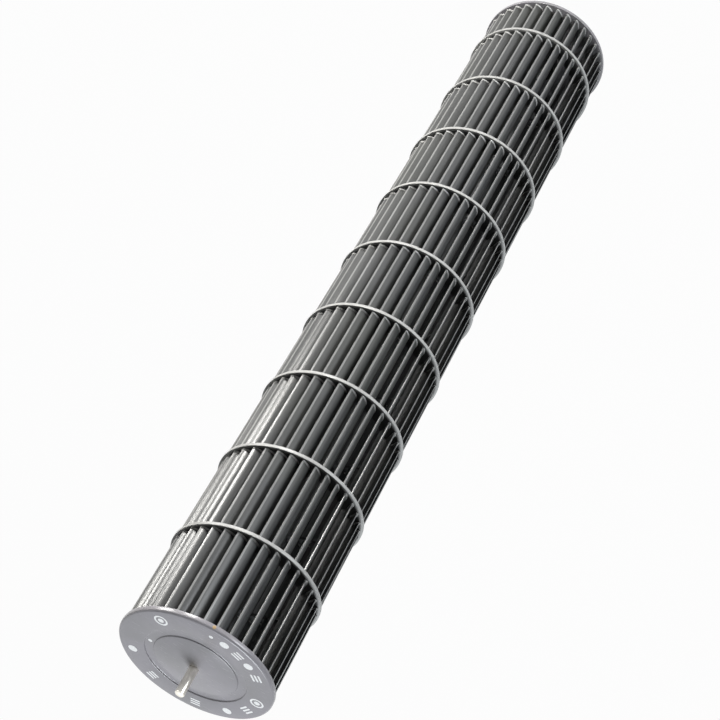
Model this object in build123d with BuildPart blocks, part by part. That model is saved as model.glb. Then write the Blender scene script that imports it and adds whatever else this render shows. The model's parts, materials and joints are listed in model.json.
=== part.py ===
"""Cross flow fan rotor for a split air conditioner, standing on its motor end.

The rotor is a drum of moulded segments welded end to end. Each segment is a flat ring with a wreath
of curved blades hanging from it, and each is turned a little against the one above it. The top
segment has a closed end disc instead of a ring, with the steel bearing shaft moulded in. The bottom
plate carries a rubber damper and a metal insert that clamps on the motor shaft.

Millimetres. +Z is the axis, from the motor end at z = 0 to the bearing shaft on top.
"""
import os
from math import cos, radians, sin

from build123d import *

# ---- drum ---------------------------------------------------------------------------------------
RING_RADIUS = 46.0
RING_THICKNESS = 2.2
RING_PROUD = 1.6              # the rings stand this far outside the blades' tips
RING_LIP = 0.6                # and reach this far inside the blades' inner edges
SEGMENT_PITCH = 59.2          # from one ring to the next
LAST_PITCH = 36.4             # the shorter segment at the motor end
FULL_SEGMENTS = 9
SEGMENT_TWIST = -4.6          # degrees that each segment is turned against the one above
DRUM_HEIGHT = FULL_SEGMENTS * SEGMENT_PITCH + LAST_PITCH

# ---- blades -------------------------------------------------------------------------------------
BLADE_COUNT = 35
BLADE_DEPTH = 9.6             # radial, from the outer tip to the inner edge
BLADE_LEAN = 58.0             # degrees from radial at the outer tip; the inner edge is radial
BLADE_MIDDLE = 1.3            # thickness at the middle of the blade
BLADE_TIP = 0.9               # thickness at the outer tip; the inner edge tapers to nothing
BLADE_SPANS = 2               # flats along each side of a blade
RING_FACETS = 2 * BLADE_COUNT # flats round each ring
FIRST_BLADE = -48.0           # degrees
PITCH_WOBBLE = 0.6            # degrees, the uneven pitch that keeps the fan from whistling
WOBBLE_WAVES = 3              # waves of uneven pitch in one turn

# ---- end disc with the bearing shaft --------------------------------------------------------------
DISC_FACE = 1.8               # the disc's face stands this far above the drum's nominal top
DISC_THICKNESS = 3.3
DISC_CHAMFER = 0.9
CHANNEL_OUTER_RADIUS = 30.4
CHANNEL_INNER_RADIUS = 24.8
CHANNEL_DEPTH = 0.8
CONE_FOOT = 0.1               # the centre starts this far below the face
CONE_RISE = 1.4               # and stands this far above it at the shaft
CONE_TOP_RADIUS = 5.0
BOSS_RADIUS = 8.5
BOSS_TIP_RADIUS = 7.0
BOSS_DEPTH = 17.0             # below the disc
SHAFT_RADIUS = 2.5
SHAFT_REACH = 18.5            # above the disc's face
SHAFT_SEAT = 16.0             # below the disc's face, moulded in
SHAFT_CHAMFER = 0.6
KNURL_HEIGHT = 0.3            # the knurled seat is this much larger in radius than the journal
RELIEF_DEPTH = 0.2            # grinding relief at the journal's foot
RELIEF_WIDTH = 0.5
GROOVE_DEPTH = 0.5            # keeps the shaft from pulling out of the moulding
GROOVE_WIDTH = 2.0
GROOVE_BELOW_FACE = 9.0

# ---- motor end ------------------------------------------------------------------------------------
PLATE_THICKNESS = 3.0
PLATE_CHAMFER = 0.6
COLLAR_WALL = 2.0
COLLAR_HEIGHT = 13.0
DAMPER_RADIUS = 15.0
DAMPER_GROOVE = 2.5           # depth of the round groove in both faces of the rubber
DAMPER_LIFT = 1.0             # hub parts stay this far above the plate's outer face
INSERT_RADIUS = 7.0
INSERT_LENGTH = 22.0
INSERT_CHAMFER = 0.5
MOTOR_BORE_RADIUS = 4.0
SCREW_RADIUS = 2.0
SCREW_HEIGHT = 17.5           # of its axis above the insert's foot
SCREW_GAP = 0.6               # between the screw's point and the bore
SCREW_PROUD = 1.2
SCREW_SOCKET_RADIUS = 1.1
SCREW_SOCKET_DEPTH = 1.6
SCREW_AZIMUTH = 90.0

# ---- worked out -------------------------------------------------------------------------------------
BLADE_TIP_RADIUS = RING_RADIUS - RING_PROUD
RING_INNER_RADIUS = BLADE_TIP_RADIUS - BLADE_DEPTH - RING_LIP
FACE_Z = DRUM_HEIGHT + DISC_FACE
CONE_TOP_Z = FACE_Z + CONE_RISE
DISC_BOTTOM_Z = FACE_Z - DISC_THICKNESS
RING_TOPS = [DRUM_HEIGHT - n * SEGMENT_PITCH + RING_THICKNESS / 2 for n in range(1, FULL_SEGMENTS + 1)]
BLADE_LENGTH = SEGMENT_PITCH - RING_THICKNESS
DISC_BLADE_LENGTH = DISC_BOTTOM_Z - RING_TOPS[0]
LAST_BLADE_LENGTH = RING_TOPS[-1] - RING_THICKNESS - PLATE_THICKNESS
COLLAR_RADIUS = DAMPER_RADIUS + COLLAR_WALL
INSERT_TOP_Z = DAMPER_LIFT + INSERT_LENGTH


def blade_point(share, side):
    """A point of the blade's outline in its own frame: x outward, y round the axis.

    The middle line is an arc that starts at the outer tip with the full lean and ends radially. The
    share runs from 0 at the outer tip to 1 at the inner edge. The side is +1 or -1.
    """
    lean = radians(BLADE_LEAN)
    turned = lean * (1 - share)
    arc_radius = BLADE_DEPTH / sin(lean)
    along = BLADE_TIP_RADIUS - arc_radius * (sin(lean) - sin(turned))
    round_axis = -arc_radius * (cos(turned) - cos(lean))
    taper = BLADE_TIP * (1 - share)
    bulge = (BLADE_MIDDLE - BLADE_TIP / 2) * 4 * share * (1 - share)
    half = side * (taper + bulge) / 2
    return (along + half * sin(turned), round_axis - half * cos(turned))


def blade_outline():
    """The blade's section: inward along one side and back along the other."""
    shares = [n / BLADE_SPANS for n in range(BLADE_SPANS + 1)]
    one_side = [blade_point(share, 1) for share in shares]
    other_side = [blade_point(share, -1) for share in reversed(shares[:-1])]
    return one_side + other_side


def blade_angle(index):
    """Degrees round the axis, with the slightly uneven pitch."""
    turned = index * 360 / BLADE_COUNT
    return FIRST_BLADE - turned - PITCH_WOBBLE * cos(radians(WOBBLE_WAVES * turned))


def blade_wreath():
    """The sections of all blades of a segment, in the plane z = 0."""
    with BuildSketch() as wreath:
        for index in range(BLADE_COUNT):
            with Locations(Rotation(0, 0, blade_angle(index))):
                Polygon(*blade_outline(), align=None)
    return wreath.sketch


def ring_segment(wreath, length):
    """One moulded segment with its ring's top face at z = 0 and blades of the given length under it."""
    with BuildPart() as segment:
        with BuildSketch(Plane.XY.offset(-RING_THICKNESS)):
            RegularPolygon(RING_RADIUS, RING_FACETS)
            RegularPolygon(RING_INNER_RADIUS, RING_FACETS, mode=Mode.SUBTRACT)
        extrude(amount=RING_THICKNESS)
        extrude(Pos(0, 0, -RING_THICKNESS - length) * wreath, amount=length)
    return segment.part


def placed_segment(shape, number):
    """A copy of the segment under its ring, turned against the ones above it."""
    return Pos(0, 0, RING_TOPS[number - 2]) * Rot(0, 0, SEGMENT_TWIST * (number - 1)) * shape


wreath = blade_wreath()

# ---- bearing shaft: steel pin with a chamfered tip, a knurled seat and a retention groove ------------------------------
GROOVE_Z = FACE_Z - GROOVE_BELOW_FACE
with BuildPart() as bearing_shaft:
    with BuildSketch(Plane.XY.offset(FACE_Z - SHAFT_SEAT)):
        Circle(SHAFT_RADIUS + KNURL_HEIGHT)
    extrude(amount=SHAFT_SEAT + CONE_RISE)
    with BuildSketch(Plane.XY.offset(CONE_TOP_Z)):
        Circle(SHAFT_RADIUS - RELIEF_DEPTH)
    extrude(amount=RELIEF_WIDTH)
    with BuildSketch(Plane.XY.offset(CONE_TOP_Z + RELIEF_WIDTH)):
        Circle(SHAFT_RADIUS)
    extrude(amount=SHAFT_REACH - CONE_RISE - RELIEF_WIDTH)
    chamfer(bearing_shaft.edges().group_by(Axis.Z)[-1], SHAFT_CHAMFER)
    with BuildSketch(Plane.XY.offset(GROOVE_Z - GROOVE_WIDTH / 2)):
        Circle(SHAFT_RADIUS + KNURL_HEIGHT)
        Circle(SHAFT_RADIUS - GROOVE_DEPTH, mode=Mode.SUBTRACT)
    extrude(amount=GROOVE_WIDTH, mode=Mode.SUBTRACT)
bearing_shaft.part.label = "bearing_shaft"

# ---- top segment: end disc, boss and blades in one moulding --------------------------------------------
with BuildPart() as shaft_end_segment:
    with BuildSketch(Plane.XZ):
        with BuildLine():
            Polyline(
                (0, DISC_BOTTOM_Z - BOSS_DEPTH),
                (BOSS_TIP_RADIUS, DISC_BOTTOM_Z - BOSS_DEPTH),
                (BOSS_RADIUS, DISC_BOTTOM_Z),
                (RING_RADIUS, DISC_BOTTOM_Z),
                (RING_RADIUS, FACE_Z - DISC_CHAMFER),
                (RING_RADIUS - DISC_CHAMFER, FACE_Z),
                (CHANNEL_OUTER_RADIUS, FACE_Z),
                (CHANNEL_OUTER_RADIUS, FACE_Z - CHANNEL_DEPTH),
                (CHANNEL_INNER_RADIUS, FACE_Z - CHANNEL_DEPTH),
                (CHANNEL_INNER_RADIUS, FACE_Z - CONE_FOOT),
                (CONE_TOP_RADIUS, CONE_TOP_Z),
                (0, CONE_TOP_Z),
                close=True,
            )
        make_face()
    revolve(axis=Axis.Z)
    extrude(Pos(0, 0, DISC_BOTTOM_Z - DISC_BLADE_LENGTH) * wreath, amount=DISC_BLADE_LENGTH)
    add(bearing_shaft.part, mode=Mode.SUBTRACT)
shaft_end_segment.part.label = "shaft_end_segment"

# ---- the other segments ----------------------------------------------------------------------------------
full_segment = ring_segment(wreath, BLADE_LENGTH)
LAST_SEGMENT = FULL_SEGMENTS + 1
blade_segments = []
for number in range(2, LAST_SEGMENT):
    segment = placed_segment(full_segment, number)
    segment.label = f"blade_segment_{number}"
    blade_segments.append(segment)
last_segment = placed_segment(ring_segment(wreath, LAST_BLADE_LENGTH), LAST_SEGMENT)
last_segment.label = f"blade_segment_{LAST_SEGMENT}"
blade_segments.append(last_segment)

# ---- motor end plate with the collar for the damper --------------------------------------------------------
with BuildPart() as motor_end_plate:
    with BuildSketch(Plane.XY):
        Circle(RING_RADIUS)
    extrude(amount=PLATE_THICKNESS)
    chamfer(motor_end_plate.edges().group_by(Axis.Z)[0], PLATE_CHAMFER)
    with BuildSketch(Plane.XY.offset(PLATE_THICKNESS)):
        Circle(COLLAR_RADIUS)
    extrude(amount=COLLAR_HEIGHT - PLATE_THICKNESS)
    with BuildSketch(Plane.XY):
        Circle(DAMPER_RADIUS)
    extrude(amount=COLLAR_HEIGHT, mode=Mode.SUBTRACT)
motor_end_plate.part.label = "motor_end_plate"

# ---- rubber damper between the collar and the insert ---------------------------------------------------------
DAMPER_MIDDLE_RADIUS = (DAMPER_RADIUS + INSERT_RADIUS) / 2
DAMPER_GROOVE_WIDTH = (DAMPER_RADIUS - INSERT_RADIUS) / 2
with BuildPart() as hub_damper:
    with BuildSketch(Plane.XZ):
        with BuildLine():
            Polyline(
                (INSERT_RADIUS, DAMPER_LIFT),
                (DAMPER_MIDDLE_RADIUS - DAMPER_GROOVE_WIDTH / 2, DAMPER_LIFT),
                (DAMPER_MIDDLE_RADIUS, DAMPER_LIFT + DAMPER_GROOVE),
                (DAMPER_MIDDLE_RADIUS + DAMPER_GROOVE_WIDTH / 2, DAMPER_LIFT),
                (DAMPER_RADIUS, DAMPER_LIFT),
                (DAMPER_RADIUS, COLLAR_HEIGHT),
                (DAMPER_MIDDLE_RADIUS + DAMPER_GROOVE_WIDTH / 2, COLLAR_HEIGHT),
                (DAMPER_MIDDLE_RADIUS, COLLAR_HEIGHT - DAMPER_GROOVE),
                (DAMPER_MIDDLE_RADIUS - DAMPER_GROOVE_WIDTH / 2, COLLAR_HEIGHT),
                (INSERT_RADIUS, COLLAR_HEIGHT),
                close=True,
            )
        make_face()
    revolve(axis=Axis.Z)
hub_damper.part.label = "hub_damper"

# ---- set screw: radial, its point short of the motor shaft's bore ---------------------------------------------
screw_plane = Plane(
    origin=(0, 0, DAMPER_LIFT + SCREW_HEIGHT),
    x_dir=(0, 0, 1),
    z_dir=(cos(radians(SCREW_AZIMUTH)), sin(radians(SCREW_AZIMUTH)), 0),
)
SCREW_HEAD = INSERT_RADIUS + SCREW_PROUD
with BuildPart() as set_screw:
    with BuildSketch(screw_plane.offset(MOTOR_BORE_RADIUS + SCREW_GAP)):
        Circle(SCREW_RADIUS)
    extrude(amount=SCREW_HEAD - MOTOR_BORE_RADIUS - SCREW_GAP)
    with BuildSketch(screw_plane.offset(SCREW_HEAD - SCREW_SOCKET_DEPTH)):
        RegularPolygon(SCREW_SOCKET_RADIUS, 6)
    extrude(amount=SCREW_SOCKET_DEPTH, mode=Mode.SUBTRACT)
set_screw.part.label = "set_screw"

# ---- metal insert with the motor shaft's bore -------------------------------------------------------------------
with BuildPart() as hub_insert:
    with BuildSketch(Plane.XY.offset(DAMPER_LIFT)):
        Circle(INSERT_RADIUS)
    extrude(amount=INSERT_LENGTH)
    chamfer(hub_insert.edges().group_by(Axis.Z)[-1], INSERT_CHAMFER)
    with BuildSketch(Plane.XY.offset(DAMPER_LIFT)):
        Circle(MOTOR_BORE_RADIUS)
    extrude(amount=INSERT_LENGTH, mode=Mode.SUBTRACT)
    with BuildSketch(screw_plane):
        Circle(SCREW_RADIUS)
    extrude(amount=SCREW_HEAD, mode=Mode.SUBTRACT)
hub_insert.part.label = "hub_insert"

# ---- files --------------------------------------------------------------------------------------------------------
os.makedirs("parts", exist_ok=True)
export_step(shaft_end_segment.part, "parts/shaft_end_segment.step")
for segment in blade_segments:
    export_step(segment, f"parts/{segment.label}.step")
export_step(motor_end_plate.part, "parts/motor_end_plate.step")
export_step(hub_damper.part, "parts/hub_damper.step")
export_step(hub_insert.part, "parts/hub_insert.step")
export_step(set_screw.part, "parts/set_screw.step")
export_step(bearing_shaft.part, "parts/bearing_shaft.step")
print("drum height", round(DRUM_HEIGHT, 2), "face", round(FACE_Z, 2), "top", round(FACE_Z + SHAFT_REACH, 2))
print("blade lengths", round(DISC_BLADE_LENGTH, 2), round(BLADE_LENGTH, 2), round(LAST_BLADE_LENGTH, 2))
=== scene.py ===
"""Cross flow fan rotor: smooth blades, weld ribs, end disc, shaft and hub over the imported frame."""
import json
import math

import bpy
import numpy as np
from mathutils import Matrix, Vector

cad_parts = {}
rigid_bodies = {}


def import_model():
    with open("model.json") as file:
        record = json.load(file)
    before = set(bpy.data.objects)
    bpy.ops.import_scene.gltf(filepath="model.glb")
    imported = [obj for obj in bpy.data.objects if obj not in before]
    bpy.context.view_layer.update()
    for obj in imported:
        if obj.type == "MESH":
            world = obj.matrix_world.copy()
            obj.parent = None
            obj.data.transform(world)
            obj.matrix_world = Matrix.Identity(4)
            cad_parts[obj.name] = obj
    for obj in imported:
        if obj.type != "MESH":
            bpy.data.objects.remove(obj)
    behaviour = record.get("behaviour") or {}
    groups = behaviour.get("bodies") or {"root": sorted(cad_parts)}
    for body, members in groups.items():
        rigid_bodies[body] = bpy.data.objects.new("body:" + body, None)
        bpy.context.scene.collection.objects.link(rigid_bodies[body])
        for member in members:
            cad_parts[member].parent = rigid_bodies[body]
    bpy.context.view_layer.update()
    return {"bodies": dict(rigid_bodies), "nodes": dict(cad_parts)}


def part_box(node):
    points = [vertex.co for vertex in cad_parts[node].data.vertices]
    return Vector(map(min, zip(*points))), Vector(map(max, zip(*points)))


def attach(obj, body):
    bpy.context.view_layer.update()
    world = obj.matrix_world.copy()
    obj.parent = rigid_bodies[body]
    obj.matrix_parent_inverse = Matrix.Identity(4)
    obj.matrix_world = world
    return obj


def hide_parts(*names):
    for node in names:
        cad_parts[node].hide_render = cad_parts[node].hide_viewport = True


bl_info = {
    "name": "Cross Flow Fan Rotor",
    "version": (1, 0, 0),
    "blender": (4, 5, 0),
    "location": "View3D > Sidebar > Fan",
    "description": "Builds the visible surfaces of a cross flow fan rotor over its measured frame",
    "category": "Add Mesh",
}

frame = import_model()
BODY = next(iter(frame["bodies"]))
MM = 0.001
SEGMENT_NODES = ["shaft_end_segment"] + [f"blade_segment_{n}" for n in range(2, 11)]
RING_NODES = SEGMENT_NODES[1:]
RING_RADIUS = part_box("blade_segment_5")[1][0]
SHAFT_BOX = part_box("bearing_shaft")
PLATE_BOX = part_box("motor_end_plate")
DAMPER_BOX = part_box("hub_damper")
INSERT_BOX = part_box("hub_insert")

# Small sizes that the frame doesn't give.
EDGE_ROUNDING = 0.35 * MM
BLADE_LEVELS = 3
BLADE_DRAFT = (-0.05 * MM, 0.04 * MM)  # change of a blade's half thickness at its free end and at its root
RIB_PROFILE = ((0.0, 1.0), (0.7, 0.75), (1.0, 0.25))  # share of a weld rib's height, and of its width there
RIB_CORNERS = 12
RIB_REACH = 0.62  # share of a blade's depth that its weld rib runs along
CHANNEL_SLOPE = 0.3 * MM
PLATE_CHAMFER = 0.6 * MM
COLLAR_WALL = 2.0 * MM
GROOVE_DEPTH = 2.5 * MM
GROOVE_POWER = 1.5
SHAFT_FOOT = 0.1 * MM
SHAFT_BEVEL = 0.6 * MM
SHAFT_BREAK = 0.05 * MM
SHAFT_CROWN = 0.04 * MM
GATE_TURN = math.radians(-88)
GATE_DEPTH = 0.55  # share of the disc's thickness that the mark's middle lies below the face
GATE_PROFILE = ((0, -0.2), (1.1, -0.2), (0.95, 0.1), (0.5, 0.22), (0, 0.26))  # radius and height in mm
DISC_STEPS = 160
SMOOTH_ANGLE = math.radians(35)
FLOOR_DROP = 0.0002
FLOOR_GREYS = (0.34, 0.37)
FLOOR_SEEN = 0.97  # share of plain white where the floor is seen directly
ROOM_FILL = 0.03  # strength of the surroundings' light on the object
COOL = (0.92, 0.96, 1.0)
WARM = (1.0, 0.985, 0.95)


# ---- sizes and colours ------------------------------------------------------------------------------
def length(name, description, default):
    """A size in metres, shown with its unit."""
    return bpy.props.FloatProperty(
        name=name, description=description, default=default, subtype="DISTANCE", unit="LENGTH", precision=5
    )


def angle(name, description, degrees):
    """An angle, given in degrees and kept in radians."""
    return bpy.props.FloatProperty(
        name=name, description=description, default=math.radians(degrees), subtype="ANGLE", unit="ROTATION"
    )


def colour(name, description, default):
    """A linear colour."""
    return bpy.props.FloatVectorProperty(
        name=name, description=description, default=default, size=3, min=0.0, max=1.0, subtype="COLOR"
    )


class BladeSizes(bpy.types.PropertyGroup):
    """Sizes of the blades, the rings and the welds between them."""

    count: bpy.props.IntProperty(name="Blades", description="Blades in one segment", default=35, min=8)
    tip_radius: length("Tip radius", "Radius of the blades' outer tips", 44.4 * MM)
    depth: length("Depth", "Radial depth of a blade", 10.6 * MM)
    lean: angle("Lean", "How far a blade leans from radial at its outer tip", 58.0)
    middle: length("Middle thickness", "Thickness at the middle of a blade", 1.3 * MM)
    tip: length("Tip thickness", "Thickness at a blade's outer tip", 0.9 * MM)
    tail: length("Inner thickness", "Thickness at a blade's inner edge", 0.5 * MM)
    first: angle("First blade", "Where the first blade stands", -48.0)
    twist: angle("Twist", "Turn of each segment against the one above it", -4.6)
    wobble: angle("Pitch wobble", "Uneven pitch that keeps the fan from whistling", 0.6)
    waves: bpy.props.IntProperty(
        name="Wobble waves", description="Waves of uneven pitch in a turn", default=3
    )
    ring_inner: length("Ring inner radius", "Radius of the hole in each ring", 34.2 * MM)
    ring_thickness: length("Ring thickness", "Thickness of each ring", 2.2 * MM)
    ring_round: length("Ring rounding", "Radius of the ring's outer edges", 0.35 * MM)
    rib_height: length("Weld rib height", "How far a weld rib stands above the ring", 0.9 * MM)
    rib_width: length("Weld rib width", "Width of the squeezed-out plastic round a blade's end", 0.55 * MM)


class DiscSizes(bpy.types.PropertyGroup):
    """Sizes of the end disc, its channel, its boss and the marks printed on it."""

    thickness: length("Thickness", "Thickness of the disc at its rim", 3.3 * MM)
    chamfer: length("Rim chamfer", "Chamfer of the disc's upper edge", 0.9 * MM)
    channel_outer: length("Channel outer radius", "Radius of the channel's outer wall", 30.4 * MM)
    channel_inner: length("Channel inner radius", "Radius of the channel's inner wall", 24.8 * MM)
    channel_depth: length("Channel depth", "Depth of the channel", 0.8 * MM)
    cone_foot: length("Centre foot", "How far the raised centre starts below the face", 0.1 * MM)
    cone_rise: length("Centre rise", "How far the centre stands above the face", 1.4 * MM)
    cone_top: length("Centre top radius", "Radius of the flat round the shaft", 5.0 * MM)
    boss_radius: length("Boss radius", "Radius of the boss under the disc", 8.5 * MM)
    boss_tip: length("Boss tip radius", "Radius of the boss at its lower end", 7.0 * MM)
    boss_depth: length("Boss depth", "How far the boss reaches below the disc", 17.0 * MM)
    print_height: length("Print height", "Thickness of the printed marks", 0.04 * MM)


class Finishes(bpy.types.PropertyGroup):
    """Base colours of the materials."""

    plastic: colour("Plastic", "Grey glass filled plastic", (0.072, 0.073, 0.074))
    # The pale weld colour is a painted highlight: on the weld ribs, and on the blade tips and ring rims of
    # the blade plastic.
    weld: colour("Weld", "Paler plastic squeezed out at the welds", (0.42, 0.42, 0.41))
    disc: colour("Disc", "Plastic of the end disc", (0.245, 0.240, 0.250))
    ink: colour("Ink", "White printed marks", (0.86, 0.86, 0.85))
    gate: colour("Gate mark", "Tan mark left on the rim", (0.45, 0.30, 0.14))
    steel: colour("Steel", "Ground steel of the shaft", (0.80, 0.77, 0.70))
    rubber: colour("Rubber", "Black rubber of the damper", (0.022, 0.022, 0.023))
    aluminium: colour("Aluminium", "Turned aluminium of the insert", (0.66, 0.66, 0.67))
    oxide: colour("Black oxide", "Blackened steel of the set screw", (0.05, 0.05, 0.055))


# ---- surfaces ---------------------------------------------------------------------------------------------
def piece(name, points, faces, material):
    """A mesh object at the origin from an array of points and a list of faces, riding on the rotor."""
    mesh = bpy.data.meshes.new(name)
    mesh.from_pydata(points.reshape(-1, 3).tolist(), [], faces)
    mesh.materials.append(material)
    mesh.validate()
    mesh.shade_smooth()
    mesh.set_sharp_from_angle(angle=SMOOTH_ANGLE)
    made = bpy.data.objects.new(name, mesh)
    bpy.context.scene.collection.objects.link(made)
    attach(made, BODY)
    return made


def grid_faces(rows, columns):
    """Quads between neighbouring rows of a grid whose columns close on themselves."""
    row, column = np.meshgrid(np.arange(rows - 1), np.arange(columns), indexing="ij")
    beside = (column + 1) % columns
    start = row * columns
    corners = [start + column, start + beside, start + columns + beside, start + columns + column]
    return np.stack(corners, axis=-1).reshape(-1, 4).tolist()


def capped_faces(rows, columns):
    """The quads of such a grid, with one face over its first row and one over its last."""
    count = rows * columns
    return grid_faces(rows, columns) + [list(range(columns))[::-1], list(range(count - columns, count))]


def revolved(profile, steps=128, close=False):
    """Carries a profile of (radius, height) points round the Z axis.

    Point k of the profile at angle a lies at radius times (cos a, sin a) and at its own height. A
    profile that starts and ends on the axis gets one point at each pole, so it is closed there.
    """
    profile = np.asarray(profile, dtype=float)
    turn = np.linspace(0, 2 * np.pi, steps, endpoint=False)
    if close:
        profile = np.vstack([profile, profile[:1]])
    starts = profile[0, 0] < 1e-9
    ends = profile[-1, 0] < 1e-9
    body = profile[int(starts):len(profile) - int(ends)]
    ring = np.stack([np.cos(turn), np.sin(turn)], axis=-1)
    flat = body[:, None, 0, None] * ring[None]
    height = np.broadcast_to(body[:, None, 1, None], (len(body), steps, 1))
    points = np.concatenate([flat, height], axis=-1).reshape(-1, 3)
    if close:
        points = points[:-steps]
        faces = np.array(grid_faces(len(body), steps)) % len(points)
        return points, faces.tolist()
    faces = grid_faces(len(body), steps)
    for wanted, height, row in ((starts, profile[0, 1], 0), (ends, profile[-1, 1], len(body) - 1)):
        if wanted:
            points = np.vstack([points, [[0, 0, height]]])
            rim = np.arange(steps) + row * steps
            pair = (rim, np.roll(rim, -1)) if row else (np.roll(rim, -1), rim)
            pole = np.full(steps, len(points) - 1)
            faces += np.stack([pair[0], pair[1], pole], axis=-1).tolist()
    return points, faces


def rounded(corners, radius, steps=4):
    """A closed profile whose corners are replaced by short quadratic curves of the given reach."""
    corners = np.asarray(corners, dtype=float)
    before = np.roll(corners, 1, axis=0) - corners
    after = np.roll(corners, -1, axis=0) - corners
    before_length = np.linalg.norm(before, axis=1, keepdims=True)
    after_length = np.linalg.norm(after, axis=1, keepdims=True)
    reach = np.minimum(radius, 0.45 * np.minimum(before_length, after_length))
    start = corners + before / before_length * reach
    end = corners + after / after_length * reach
    t = np.linspace(0, 1, steps)[None, :, None]
    curve = (1 - t) ** 2 * start[:, None] + 2 * t * (1 - t) * corners[:, None] + t ** 2 * end[:, None]
    return curve.reshape(-1, 2)


def joined(parts):
    """Several (points, faces) pairs as one."""
    points = []
    faces = []
    first = 0
    for some_points, some_faces in parts:
        points.append(some_points.reshape(-1, 3))
        faces += [[corner + first for corner in face] for face in some_faces]
        first += len(points[-1])
    return np.vstack(points), faces


# ---- blades -----------------------------------------------------------------------------------------------
def blade_centre(sizes, share):
    """The blade's middle line: an arc with its full lean at the outer tip that ends radially.

    At a share s from the outer tip the line has turned to lean times (1 - s), so its distance inward is
    the arc's radius times (sin lean - sin turned), and round the axis times (cos turned - cos lean).
    Returns the points and the unit normals.
    """
    turned = sizes.lean * (1 - share)
    arc_radius = sizes.depth / math.sin(sizes.lean)
    outward = sizes.tip_radius - arc_radius * (math.sin(sizes.lean) - np.sin(turned))
    sideways = -arc_radius * (np.cos(turned) - math.cos(sizes.lean))
    normal = np.stack([np.sin(turned), -np.cos(turned)], axis=-1)
    return np.stack([outward, sideways], axis=-1), normal


def blade_section(sizes, corners=18, grow=0.0, inner=1.0):
    """A closed section round the middle line: round at the outer tip, full in the middle, thin inside.

    Going once round with the angle u, the share along the blade is (1 - cos u) / 2. Half the thickness
    falls evenly from the tip's to the inner edge's, plus a bulge of 4 s (1 - s), and is brought to
    nothing at both ends by the sine of u to a small power.
    """
    u = (np.arange(corners) + 0.5) * 2 * np.pi / corners
    share = (1 - np.cos(u)) / 2 * inner
    centre, normal = blade_centre(sizes, share)
    even = sizes.tip * (1 - share) + sizes.tail * share
    bulge = (sizes.middle - (sizes.tip + sizes.tail) / 2) * 4 * share * (1 - share)
    half = (even + bulge) / 2 + grow
    offset = half * np.sign(np.sin(u)) * np.abs(np.sin(u)) ** 0.4
    return centre + normal * offset[:, None]


def blade_turns(sizes, number):
    """The angle of every blade of a segment, with the slightly uneven pitch and the segment's twist."""
    turned = np.arange(sizes.count) * 2 * np.pi / sizes.count
    return sizes.first - turned - sizes.wobble * np.cos(sizes.waves * turned) + sizes.twist * (number - 1)


def wreath(sections, heights, turns):
    """Stacks a section at each height and repeats the column at every turn, with both ends closed."""
    rows, corners = sections.shape[:2]
    x = sections[None, :, :, 0]
    y = sections[None, :, :, 1]
    c = np.cos(turns)[:, None, None]
    s = np.sin(turns)[:, None, None]
    z = np.broadcast_to(heights[None, :, None], (len(turns), rows, corners))
    points = np.stack([x * c - y * s, x * s + y * c, z], axis=-1)
    one = capped_faces(rows, corners)
    starts = range(0, len(turns) * rows * corners, rows * corners)
    faces = [[corner + start for corner in face] for start in starts for face in one]
    return points, faces


def segment_span(number):
    """The heights of the face that a segment's blades are welded to, and of their roots."""
    sizes = bpy.context.scene.fan_blades
    if number == 1:
        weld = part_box(SEGMENT_NODES[0])[0][2]
        return weld, disc_face_height() - bpy.context.scene.fan_disc.thickness
    low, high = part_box(SEGMENT_NODES[number - 1])
    return low[2], high[2] - sizes.ring_thickness


def disc_face_height():
    """Height of the end disc's flat face, which the raised centre stands above."""
    disc = bpy.context.scene.fan_disc
    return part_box(SEGMENT_NODES[0])[1][2] - disc.cone_rise


def segment_blades(number):
    """All blades of one segment: a little thicker at the root, as they are drawn from the mould."""
    sizes = bpy.context.scene.fan_blades
    low, high = segment_span(number)
    heights = np.linspace(low, high, BLADE_LEVELS)
    thicken = np.linspace(*BLADE_DRAFT, BLADE_LEVELS)
    sections = np.stack([blade_section(sizes, grow=extra) for extra in thicken])
    return wreath(sections, heights, blade_turns(sizes, number))


class FAN_OT_blade_segments(bpy.types.Operator):
    """Build the nine rings with their wreaths of curved blades."""

    bl_idname = "fan.blade_segments"
    bl_label = "Blade segments"

    def execute(self, context):
        sizes = context.scene.fan_blades
        material = fan_plastic()
        for number, node in enumerate(RING_NODES, start=2):
            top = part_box(node)[1][2]
            low = top - sizes.ring_thickness
            inner = sizes.ring_inner
            corners = [(inner, low), (RING_RADIUS, low), (RING_RADIUS, top), (inner, top)]
            ring = revolved(rounded(corners, sizes.ring_round), close=True)
            made = piece(f"ring_and_blades_{number}", *joined([ring, segment_blades(number)]), material)
            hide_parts(node)
        return {"FINISHED"}


class FAN_OT_weld_ribs(bpy.types.Operator):
    """Build the ribs of plastic squeezed out where each blade's free end is welded to the next ring."""

    bl_idname = "fan.weld_ribs"
    bl_label = "Weld ribs"

    def execute(self, context):
        sizes = context.scene.fan_blades
        material = weld_plastic_with_painted_highlight()
        for number in range(1, len(SEGMENT_NODES) + 1):
            low = segment_span(number)[0]
            heights = low + np.array([level for level, _ in RIB_PROFILE]) * sizes.rib_height
            sections = np.stack([
                blade_section(sizes, corners=RIB_CORNERS, grow=sizes.rib_width * width, inner=RIB_REACH)
                for _, width in RIB_PROFILE
            ])
            ribs = wreath(sections, heights, blade_turns(sizes, number))
            made = piece(f"weld_ribs_{number}", *ribs, material)
        return {"FINISHED"}


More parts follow.
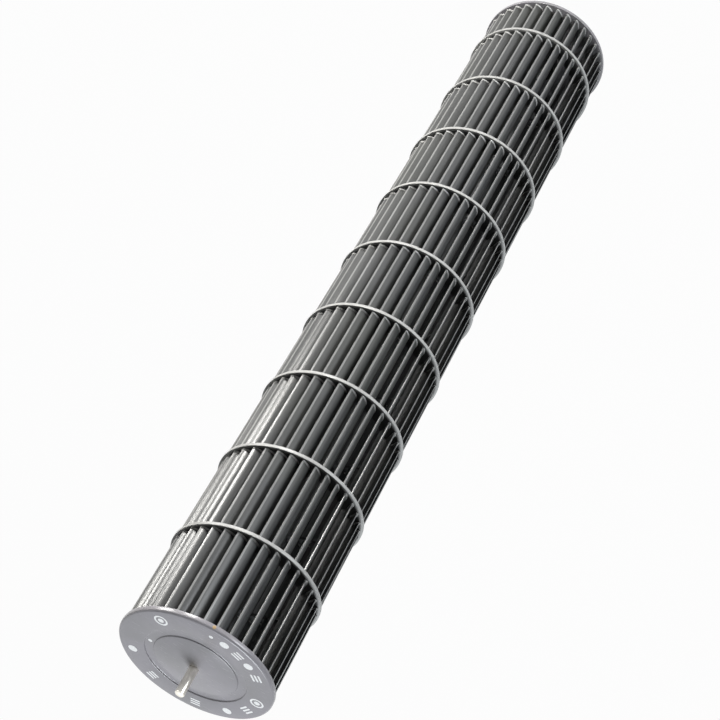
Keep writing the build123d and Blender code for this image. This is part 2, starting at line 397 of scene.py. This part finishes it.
# ---- end disc ---------------------------------------------------------------------------------------------
class FAN_OT_end_disc(bpy.types.Operator):
    """Build the top segment: disc with channel and raised centre, boss and blades."""

    bl_idname = "fan.end_disc"
    bl_label = "End disc"

    def execute(self, context):
        disc = context.scene.fan_disc
        face = disc_face_height()
        under = face - disc.thickness
        shaft = SHAFT_BOX[1][0]
        corners = [
            (shaft, under - disc.boss_depth),
            (disc.boss_tip, under - disc.boss_depth),
            (disc.boss_radius, under),
            (RING_RADIUS, under),
            (RING_RADIUS, face - disc.chamfer),
            (RING_RADIUS - disc.chamfer, face),
            (disc.channel_outer, face),
            (disc.channel_outer - CHANNEL_SLOPE, face - disc.channel_depth),
            (disc.channel_inner + CHANNEL_SLOPE, face - disc.channel_depth),
            (disc.channel_inner, face - disc.cone_foot),
            (disc.cone_top, face + disc.cone_rise),
            (shaft, face + disc.cone_rise),
        ]
        shell = revolved(rounded(corners, EDGE_ROUNDING), steps=DISC_STEPS, close=True)
        top = piece("end_disc", *shell, disc_plastic())
        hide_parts(SEGMENT_NODES[0])
        blades = piece("end_disc_blades", *segment_blades(1), fan_plastic())
        return {"FINISHED"}


def raised_mark(outline, low, high):
    """A thin plate with the given outline: the same points at two heights, sides and both faces."""
    count = len(outline)
    levels = [np.column_stack([outline, np.full(count, height)]) for height in (low, high)]
    return np.vstack(levels), capped_faces(2, count)


def dot(radius, steps=28):
    """A circle's outline."""
    turn = np.linspace(0, 2 * np.pi, steps, endpoint=False)
    return np.column_stack([radius * np.cos(turn), radius * np.sin(turn)])


def bar(long, wide, steps=7):
    """A bar with half-round ends: a half circle at each end of a straight middle."""
    turn = np.linspace(-np.pi / 2, np.pi / 2, steps)
    cap = np.column_stack([np.cos(turn), np.sin(turn)]) * wide / 2
    return np.vstack([cap + [(long - wide) / 2, 0], -cap - [(long - wide) / 2, 0]])


def small_ring(outer, inner, low, high, steps=36):
    """A flat ring: a small rectangle carried round its own middle."""
    return revolved([(inner, low), (outer, low), (outer, high), (inner, high)], steps=steps, close=True)


DOT_RADIUS = 2.7 * MM
SMALL_DOT_RADIUS = 1.2 * MM
RINGED_DOT_RADIUS = 1.7 * MM
MARK_RING_RADII = (4.0 * MM, 2.9 * MM)
BAR_LENGTH = 6.0 * MM
BAR_WIDTH = 1.2 * MM
BAR_STEP = 2.2 * MM
PRINT_SINK = 0.02 * MM
# Where each group of printed marks stands: degrees round the disc, radius in mm, and its kind.
PRINT = (
    (105, 38.4, "bars"),
    (135, 38.4, "dot"),
    (158, 38.4, "bars"),
    (178, 38.2, "ring"),
    (-143, 38.2, "bars"),
    (-128, 38.4, "dot"),
    (-115, 38.2, "bars"),
    (-101, 38.4, "dot"),
    (-89, 38.2, "small"),
    (-44, 38.0, "ring"),
    (28, 38.4, "dot"),
    (62.5, 38.4, "bars"),
    (2, 27.6, "small"),
)


class FAN_OT_printed_marks(bpy.types.Operator):
    """Build the plain white dots, rings and bars printed on the end disc."""

    bl_idname = "fan.printed_marks"
    bl_label = "Printed marks"

    def execute(self, context):
        disc = context.scene.fan_disc
        levels = (-PRINT_SINK, disc.print_height)
        one_bar = bar(BAR_LENGTH, BAR_WIDTH)
        kinds = {
            "dot": [raised_mark(dot(DOT_RADIUS), *levels)],
            "small": [raised_mark(dot(SMALL_DOT_RADIUS), *levels)],
            "ring": [small_ring(*MARK_RING_RADII, *levels), raised_mark(dot(RINGED_DOT_RADIUS), *levels)],
            "bars": [raised_mark(one_bar + [0, step * BAR_STEP], *levels) for step in (-1, 0, 1)],
        }
        parts = []
        for degrees, radius, kind in PRINT:
            turn = math.radians(degrees)
            face = disc_face_height() - (disc.channel_depth if radius * MM < disc.channel_outer else 0)
            c, s = math.cos(turn), math.sin(turn)
            across = np.array([[-s, c, 0], [-c, -s, 0], [0, 0, 1]])
            place = np.array([radius * MM * c, radius * MM * s, face])
            parts += [(points @ across + place, faces) for points, faces in kinds[kind]]
        made = piece("printed_marks", *joined(parts), ink())
        return {"FINISHED"}


class FAN_OT_gate_mark(bpy.types.Operator):
    """Build the small tan spot on the disc's rim."""

    bl_idname = "fan.gate_mark"
    bl_label = "Gate mark"

    def execute(self, context):
        disc = context.scene.fan_disc
        out = Vector((math.cos(GATE_TURN), math.sin(GATE_TURN), 0))
        side = Vector((-out[1], out[0], 0))
        middle = disc_face_height() - disc.thickness * GATE_DEPTH
        points, faces = revolved(np.array(GATE_PROFILE) * MM, steps=24)
        turned = np.array([side, (0, 0, 1), out]).T
        points = points @ turned.T + np.array(out * RING_RADIUS) + [0, 0, middle]
        made = piece("gate_mark", points, faces, gate_tan())
        return {"FINISHED"}


# ---- shaft and hub ----------------------------------------------------------------------------------------
class FAN_OT_bearing_shaft(bpy.types.Operator):
    """Build the ground steel shaft with its chamfered tip."""

    bl_idname = "fan.bearing_shaft"
    bl_label = "Bearing shaft"

    def execute(self, context):
        radius = SHAFT_BOX[1][0]
        low = SHAFT_BOX[0][2]
        high = SHAFT_BOX[1][2]
        profile = [
            (0, low),
            (radius - SHAFT_FOOT, low),
            (radius, low + SHAFT_FOOT),
            (radius, high - SHAFT_BEVEL - SHAFT_BREAK),
            (radius - SHAFT_BREAK, high - SHAFT_BEVEL),
            (radius - SHAFT_BEVEL + SHAFT_BREAK, high - SHAFT_CROWN),
            (radius - SHAFT_BEVEL - SHAFT_BREAK, high),
            (0, high),
        ]
        made = piece("bearing_pin", *revolved(profile, steps=64), ground_steel())
        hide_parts("bearing_shaft")
        return {"FINISHED"}


class FAN_OT_motor_hub(bpy.types.Operator):
    """Build the motor end: plate with collar and rubber damper, and finish the insert and its screw."""

    bl_idname = "fan.motor_hub"
    bl_label = "Motor hub"

    def execute(self, context):
        low = PLATE_BOX[0][2]
        collar_top = PLATE_BOX[1][2]
        damper_radius = DAMPER_BOX[1][0]
        insert_radius = INSERT_BOX[1][0]
        plate_top = segment_span(len(SEGMENT_NODES))[0]
        collar_radius = damper_radius + COLLAR_WALL
        corners = [
            (damper_radius, low),
            (RING_RADIUS - PLATE_CHAMFER, low),
            (RING_RADIUS, low + PLATE_CHAMFER),
            (RING_RADIUS, plate_top),
            (collar_radius, plate_top),
            (collar_radius, collar_top),
            (damper_radius, collar_top),
        ]
        shell = revolved(rounded(corners, EDGE_ROUNDING), steps=DISC_STEPS, close=True)
        plate = piece("motor_plate", *shell, disc_plastic())
        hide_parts("motor_end_plate")
        foot = DAMPER_BOX[0][2]
        middle = (damper_radius + insert_radius) / 2
        share = np.linspace(-1, 1, 17)
        groove = GROOVE_DEPTH * np.cos(share * np.pi / 2) ** GROOVE_POWER
        across = middle + share * (damper_radius - insert_radius) / 2
        under = np.column_stack([across, foot + groove])
        over = np.column_stack([across[::-1], collar_top - groove])
        damper = piece("rubber_damper", *revolved(np.vstack([under, over]), steps=96, close=True), rubber())
        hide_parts("hub_damper")
        for node, material in (("hub_insert", turned_aluminium()), ("set_screw", black_oxide())):
            mesh = frame["nodes"][node].data
            mesh.materials.clear()
            mesh.materials.append(material)
        return {"FINISHED"}


# ---- shader expressions -----------------------------------------------------------------------------------
class Value:
    """A socket in a material, so that sums on it add Math nodes."""

    def __init__(self, graph, socket):
        self.graph = graph
        self.socket = socket

    def _math(self, operation, first, second=None):
        inputs = {0: first} if second is None else {0: first, 1: second}
        return self.graph.add("ShaderNodeMath", {"operation": operation}, inputs)

    def __add__(self, other):
        return self._math("ADD", self, other)

    def __radd__(self, other):
        return self._math("ADD", other, self)

    def __mul__(self, other):
        return self._math("MULTIPLY", self, other)

    def __pow__(self, other):
        return self._math("POWER", self, other)

    def sine(self):
        return self._math("SINE", self)

    def bounded(self, low, high):
        """0 below low, 1 above high, and smooth between."""
        settings = {"interpolation_type": "SMOOTHSTEP"}
        return self.graph.add("ShaderNodeMapRange", settings, {0: self, 1: low, 2: high, 3: 0.0, 4: 1.0})


class Graph:
    """A material's nodes, with the object's own coordinates at hand."""

    def __init__(self, name):
        self.material = bpy.data.materials.new(name)
        self.material.use_nodes = True
        self.tree = self.material.node_tree
        self.shader = self.tree.nodes["Principled BSDF"]
        place = self.tree.nodes.new("ShaderNodeTexCoord")
        self.place = Value(self, place.outputs["Object"])

    def add(self, kind, settings, inputs, output=0):
        """Adds one node: its settings first, then the values or links of its sockets."""
        node = self.tree.nodes.new(kind)
        for key, setting in settings.items():
            setattr(node, key, setting)
        for key, given in inputs.items():
            if isinstance(given, Value):
                self.tree.links.new(given.socket, node.inputs[key])
            else:
                node.inputs[key].default_value = given
        return Value(self, node.outputs[output])

    def noise(self, scale, detail=3.0, stretch=(1, 1, 1)):
        """Cloudy noise between 0 and 1, stretched along the axes."""
        place = self.add("ShaderNodeMapping", {}, {"Vector": self.place, "Scale": stretch})
        return self.add("ShaderNodeTexNoise", {}, {"Vector": place, "Scale": scale, "Detail": detail})

    def axes(self):
        """The three coordinates."""
        split = self.tree.nodes.new("ShaderNodeSeparateXYZ")
        self.tree.links.new(self.place.socket, split.inputs[0])
        return [Value(self, socket) for socket in split.outputs]

    def radius(self):
        """Distance from the rotor's axis."""
        x, y, _ = self.axes()
        return (x * x + y * y) ** 0.5

    def mix(self, mask, first, second):
        """A colour between two others, which are linear triples or links."""
        sides = [tuple(side) + (1.0,) if not isinstance(side, Value) else side for side in (first, second)]
        return self.add("ShaderNodeMix", {"data_type": "RGBA"}, {0: mask, 6: sides[0], 7: sides[1]}, 2)

    def bump(self, height, strength, distance):
        return self.add("ShaderNodeBump", {}, {"Height": height, "Strength": strength, "Distance": distance})

    def finish(self, **sockets):
        """Sets or links the shader's sockets, whose names have spaces for underscores."""
        for key, given in sockets.items():
            socket = self.shader.inputs[key.replace("_", " ")]
            if isinstance(given, Value):
                self.tree.links.new(given.socket, socket)
            else:
                socket.default_value = given
        return self.material


def once(build):
    """Keeps one material of each kind."""
    made = {}

    def kept():
        if build.__name__ not in made:
            made[build.__name__] = build()
        return made[build.__name__]

    return kept


def finish_colour(name):
    """The base colour that the settings give a material."""
    return tuple(getattr(bpy.context.scene.fan_finishes, name))


def scaled(rgb, factor):
    """A colour made lighter or darker."""
    return tuple(min(1.0, channel * factor) for channel in rgb)


# ---- materials --------------------------------------------------------------------------------------------
@once
def fan_plastic():
    """Grey glass filled plastic of blades and rings: flow streaks, fine grain, and a painted highlight that
    makes the blades' outer tips and the rings' rims paler.
    """
    g = Graph("fan_plastic_surface")
    base = finish_colour("plastic")
    cloud = g.noise(55.0, 4.0)
    streak = g.noise(1.0, 3.0, (900, 900, 18))
    grain = g.noise(2600.0, 2.0)
    shade = (cloud * 0.6 + streak * 0.4).bounded(0.35, 0.65)
    colours = g.mix(shade, scaled(base, 0.90), scaled(base, 1.08))
    patches = g.noise(14.0, 2.0).bounded(0.4, 0.7)
    warmer = (base[0], base[1] * 1.02, base[2] * 0.90)
    tint = g.mix(patches * 0.5, colours, warmer)
    tip = bpy.context.scene.fan_blades.tip_radius
    radius = g.radius()
    # Painted highlight: the rings' rims and the blades' outer tips are mixed towards the pale weld colour, in
    # place of the light they catch.
    rim = radius.bounded(tip + 0.3 * MM, tip + 0.9 * MM)
    tip_highlight_mask = radius.bounded(tip - 0.40 * MM, tip - 0.15 * MM)
    lightened_colour = g.mix(tip_highlight_mask * 0.45 + rim * (0.30 + cloud * 0.2), tint, finish_colour("weld"))
    return g.finish(
        Base_Color=lightened_colour,
        Roughness=0.23 + streak * 0.10 + grain * 0.03 + rim * 0.12,
        Normal=g.bump(grain * 0.25 + streak * 0.75, 0.18, 0.00005),
        Specular_IOR_Level=0.5,
    )


@once
def weld_plastic_with_painted_highlight():
    """The same plastic where it was melted and squeezed out, rougher, and painted pale as a highlight on the
    weld ribs.
    """
    g = Graph("weld_plastic_painted_highlight_surface")
    base = finish_colour("weld")
    lumps = g.noise(900.0, 4.0)
    return g.finish(
        # Painted highlight: the ribs' pale base colour stands in for the light they catch.
        Base_Color=g.mix(lumps.bounded(0.35, 0.65), scaled(base, 0.8), scaled(base, 1.15)),
        Roughness=0.38 + lumps * 0.15,
        Normal=g.bump(lumps, 0.5, 0.0002),
    )


@once
def disc_plastic():
    """Semi-gloss moulded disc: faint rings from the turned mould, clouds of flow and a few fine scuffs."""
    g = Graph("disc_plastic_surface")
    base = finish_colour("disc")
    radius = g.radius()
    cloud = g.noise(38.0, 4.0)
    turning = (radius * 9000.0 + cloud * 3.0).sine() * 0.5 + 0.5
    scuff = g.noise(1.0, 5.0, (160, 1400, 160)).bounded(0.62, 0.75)
    grain = g.noise(3000.0, 2.0)
    lighter = (base[0] * 1.06, base[1] * 1.04, base[2] * 1.08)
    shade = g.mix(cloud.bounded(0.35, 0.65), scaled(base, 0.92), lighter)
    lightened_colour = g.mix(scuff * 0.25, shade, scaled(base, 1.5))
    return g.finish(
        Base_Color=lightened_colour,
        Roughness=0.19 + cloud * 0.07 + scuff * 0.12 + turning * 0.02,
        Normal=g.bump(turning * 0.35 + grain * 0.65, 0.16, 0.00004),
        Specular_IOR_Level=0.5,
    )


@once
def ink():
    """White printing ink, thin enough to be a little uneven."""
    g = Graph("white_ink")
    base = finish_colour("ink")
    thin = g.noise(1200.0, 4.0)
    return g.finish(
        Base_Color=g.mix(thin.bounded(0.3, 0.7), scaled(base, 0.86), base),
        Roughness=0.45 + thin * 0.15,
        Normal=g.bump(thin, 0.3, 0.00005),
    )


@once
def gate_tan():
    """Tan mark of the moulding gate."""
    g = Graph("gate_tan")
    base = finish_colour("gate")
    spots = g.noise(1500.0, 3.0)
    return g.finish(
        Base_Color=g.mix(spots, scaled(base, 0.7), scaled(base, 1.2)),
        Roughness=0.45 + spots * 0.2,
        Normal=g.bump(spots, 0.4, 0.0001),
    )


@once
def ground_steel():
    """Ground steel: fine lines round the shaft."""
    g = Graph("ground_steel")
    base = finish_colour("steel")
    lines = g.noise(1.0, 4.0, (60, 60, 9000))
    stain = g.noise(220.0, 3.0)
    return g.finish(
        Base_Color=g.mix(stain.bounded(0.4, 0.7), scaled(base, 1.05), scaled(base, 0.9)),
        Metallic=1.0,
        Roughness=0.24 + lines * 0.08 + stain * 0.05,
        Normal=g.bump(lines, 0.10, 0.00001),
    )


@once
def rubber():
    """Black moulded rubber with a dull bloom."""
    g = Graph("damper_rubber_surface")
    base = finish_colour("rubber")
    bloom = g.noise(180.0, 4.0)
    grain = g.noise(2200.0, 3.0)
    return g.finish(
        Base_Color=g.mix(bloom.bounded(0.45, 0.75), base, scaled(base, 2.2)),
        Roughness=0.62 + bloom * 0.2,
        Normal=g.bump(grain, 0.4, 0.0001),
    )


@once
def turned_aluminium():
    """Turned aluminium: close tool lines along the axis."""
    g = Graph("turned_aluminium")
    base = finish_colour("aluminium")
    _, _, z = g.axes()
    tool = (z * 21000.0).sine() * 0.5 + 0.5
    cloud = g.noise(160.0, 3.0)
    return g.finish(
        Base_Color=g.mix(cloud, scaled(base, 0.9), base),
        Metallic=1.0,
        Roughness=0.26 + cloud * 0.10 + tool * 0.05,
        Normal=g.bump(tool, 0.3, 0.00005),
    )


@once
def black_oxide():
    """Blackened steel of the set screw, oily and a little worn."""
    g = Graph("black_oxide")
    base = finish_colour("oxide")
    wear = g.noise(700.0, 4.0)
    return g.finish(
        Base_Color=g.mix(wear.bounded(0.6, 0.8), base, scaled(base, 3.0)),
        Metallic=0.8,
        Roughness=0.38 + wear * 0.15,
        Normal=g.bump(wear, 0.2, 0.00005),
    )


@once
def pale_floor():
    """White floor: plain paint for the light that falls on it, and mostly white where it is seen directly."""
    g = Graph("pale_floor")
    tree = g.tree
    fleck = g.noise(3.0, 2.0)
    g.finish(Base_Color=g.mix(fleck, *((grey,) * 3 for grey in FLOOR_GREYS)), Roughness=0.9)
    rays = tree.nodes.new("ShaderNodeLightPath")
    camera = Value(g, rays.outputs["Is Camera Ray"])
    glossy = Value(g, rays.outputs["Is Glossy Ray"])
    through = Value(g, rays.outputs["Is Transmission Ray"])
    seen = (camera + glossy + through).bounded(0.0, 1.0)
    glow = g.add("ShaderNodeEmission", {}, {"Color": (1.0, 1.0, 1.0, 1.0), "Strength": 1.0})
    paint = Value(g, g.shader.outputs[0])
    blend = g.add("ShaderNodeMixShader", {}, {0: seen * FLOOR_SEEN, 1: paint, 2: glow})
    tree.links.new(blend.socket, tree.nodes["Material Output"].inputs["Surface"])
    return g.material


# ---- stage ------------------------------------------------------------------------------------------------
class StageSettings(bpy.types.PropertyGroup):
    """The floor's size and the camera's place."""

    floor: length("Floor radius", "Radius of the floor", 8.0)
    lens: bpy.props.FloatProperty(name="Lens", description="Focal length in millimetres", default=82.8)
    distance: length("Camera distance", "From the camera to the point it looks at", 1.0222)
    elevation: angle("Camera elevation", "Height of the camera's line of sight", 37.99)
    roll: angle("Camera roll", "Turn of the camera about its line of sight", -150.11)
    aim_height: length("Aim height", "Height of the point the camera looks at", 0.3368)
    aim_side: length("Aim offset", "How far that point lies beside the axis", 0.0052)


# Each lamp: its name, where it stands, the point it faces, its sides in metres, its watts and its tone.
LAMPS = (
    ("key_lamp", (-0.85, -1.20, 0.05), (0, 0, 0.34), 0.50, 0.50, 26.0, COOL),
    ("side_lamp", (0.40, -0.50, 0.03), (0, 0, 0.50), 0.14, 0.36, 9.0, WARM),
    ("far_lamp", (0.86, -0.24, 0.02), (0, 0, 0.45), 0.30, 0.40, 12.0, WARM),
    ("top_lamp", (-0.35, 0.55, 1.75), (0, 0, 0.55), 0.60, 0.60, 21.0, COOL),
)


def lamp(name, place, aim, wide, high, watts, tone):
    """A soft rectangular lamp that faces the point it is aimed at."""
    data = bpy.data.lights.new(name, "AREA")
    data.shape = "RECTANGLE"
    data.size = wide
    data.size_y = high
    data.energy = watts
    data.color = tone
    made = bpy.data.objects.new(name, data)
    made.location = place
    made.rotation_euler = (Vector(aim) - Vector(place)).to_track_quat("-Z", "Y").to_euler()
    made.visible_camera = False
    bpy.context.scene.collection.objects.link(made)


def pale_room(scene):
    """White surroundings where they are seen or mirrored, and a little even light everywhere else."""
    world = scene.world or bpy.data.worlds.new("pale_room")
    scene.world = world
    world.use_nodes = True
    tree = world.node_tree
    background = tree.nodes["Background"]
    background.inputs["Color"].default_value = (1.0, 1.0, 1.0, 1.0)
    rays = tree.nodes.new("ShaderNodeLightPath")
    seen = tree.nodes.new("ShaderNodeMath")
    seen.operation = "MAXIMUM"
    strength = tree.nodes.new("ShaderNodeMapRange")
    strength.inputs["To Min"].default_value = ROOM_FILL
    strength.inputs["To Max"].default_value = 1.0
    tree.links.new(rays.outputs["Is Camera Ray"], seen.inputs[0])
    tree.links.new(rays.outputs["Is Glossy Ray"], seen.inputs[1])
    tree.links.new(seen.outputs[0], strength.inputs["Value"])
    tree.links.new(strength.outputs[0], background.inputs["Strength"])


class FAN_OT_stage(bpy.types.Operator):
    """Set up the floor, the soft lamps, the pale surroundings and the camera."""

    bl_idname = "fan.stage"
    bl_label = "Stage"

    def execute(self, context):
        stage = context.scene.fan_stage
        scene = context.scene
        points, faces = revolved([(0, 0), (stage.floor * 0.1, 0), (stage.floor, 0)], steps=64)
        mesh = bpy.data.meshes.new("floor")
        mesh.from_pydata((points - [0, 0, FLOOR_DROP]).tolist(), [], faces)
        mesh.flip_normals()
        mesh.materials.append(pale_floor())
        floor = bpy.data.objects.new("floor", mesh)
        scene.collection.objects.link(floor)

        for settings in LAMPS:
            lamp(*settings)

        pale_room(scene)
        scene.view_settings.view_transform = "Standard"

        lift = stage.elevation
        back = Vector((0, -math.cos(lift), math.sin(lift)))
        level_right = Vector((1, 0, 0))
        level_up = back.cross(level_right)
        right = level_right * math.cos(stage.roll) + level_up * math.sin(stage.roll)
        up = back.cross(right)
        aim = Vector((stage.aim_side, 0, stage.aim_height))
        data = bpy.data.cameras.new("camera")
        data.lens = stage.lens
        data.sensor_width = 36.0
        data.clip_start = 0.01
        data.clip_end = 50.0
        camera = bpy.data.objects.new("camera", data)
        turned = Matrix((right, up, back)).transposed().to_4x4()
        camera.matrix_world = Matrix.Translation(aim + back * stage.distance) @ turned
        scene.collection.objects.link(camera)
        scene.camera = camera
        return {"FINISHED"}


class FAN_PT_sidebar(bpy.types.Panel):
    """The fan's sizes, colours and build steps in the sidebar."""

    bl_label = "Cross Flow Fan"
    bl_idname = "FAN_PT_sidebar"
    bl_space_type = "VIEW_3D"
    bl_region_type = "UI"
    bl_category = "Fan"

    def draw(self, context):
        for group in ("fan_blades", "fan_disc", "fan_finishes", "fan_stage"):
            box = self.layout.box()
            settings = getattr(context.scene, group)
            for name in settings.__annotations__:
                box.prop(settings, name)
        for step in STEPS:
            self.layout.operator(step.bl_idname)


STEPS = (
    FAN_OT_blade_segments,
    FAN_OT_weld_ribs,
    FAN_OT_end_disc,
    FAN_OT_printed_marks,
    FAN_OT_gate_mark,
    FAN_OT_bearing_shaft,
    FAN_OT_motor_hub,
    FAN_OT_stage,
)
GROUPS = {
    "fan_blades": BladeSizes,
    "fan_disc": DiscSizes,
    "fan_finishes": Finishes,
    "fan_stage": StageSettings,
}


def register():
    for group in GROUPS.values():
        bpy.utils.register_class(group)
    for name, group in GROUPS.items():
        setattr(bpy.types.Scene, name, bpy.props.PointerProperty(type=group))
    for step in STEPS + (FAN_PT_sidebar,):
        bpy.utils.register_class(step)


def unregister():
    for step in reversed(STEPS + (FAN_PT_sidebar,)):
        bpy.utils.unregister_class(step)
    for name, group in GROUPS.items():
        delattr(bpy.types.Scene, name)
        bpy.utils.unregister_class(group)


def main():
    register()
    bpy.ops.fan.blade_segments()
    bpy.ops.fan.weld_ribs()
    bpy.ops.fan.end_disc()
    bpy.ops.fan.printed_marks()
    bpy.ops.fan.gate_mark()
    bpy.ops.fan.bearing_shaft()
    bpy.ops.fan.motor_hub()
    bpy.ops.fan.stage()


if __name__ == "__main__":
    main()
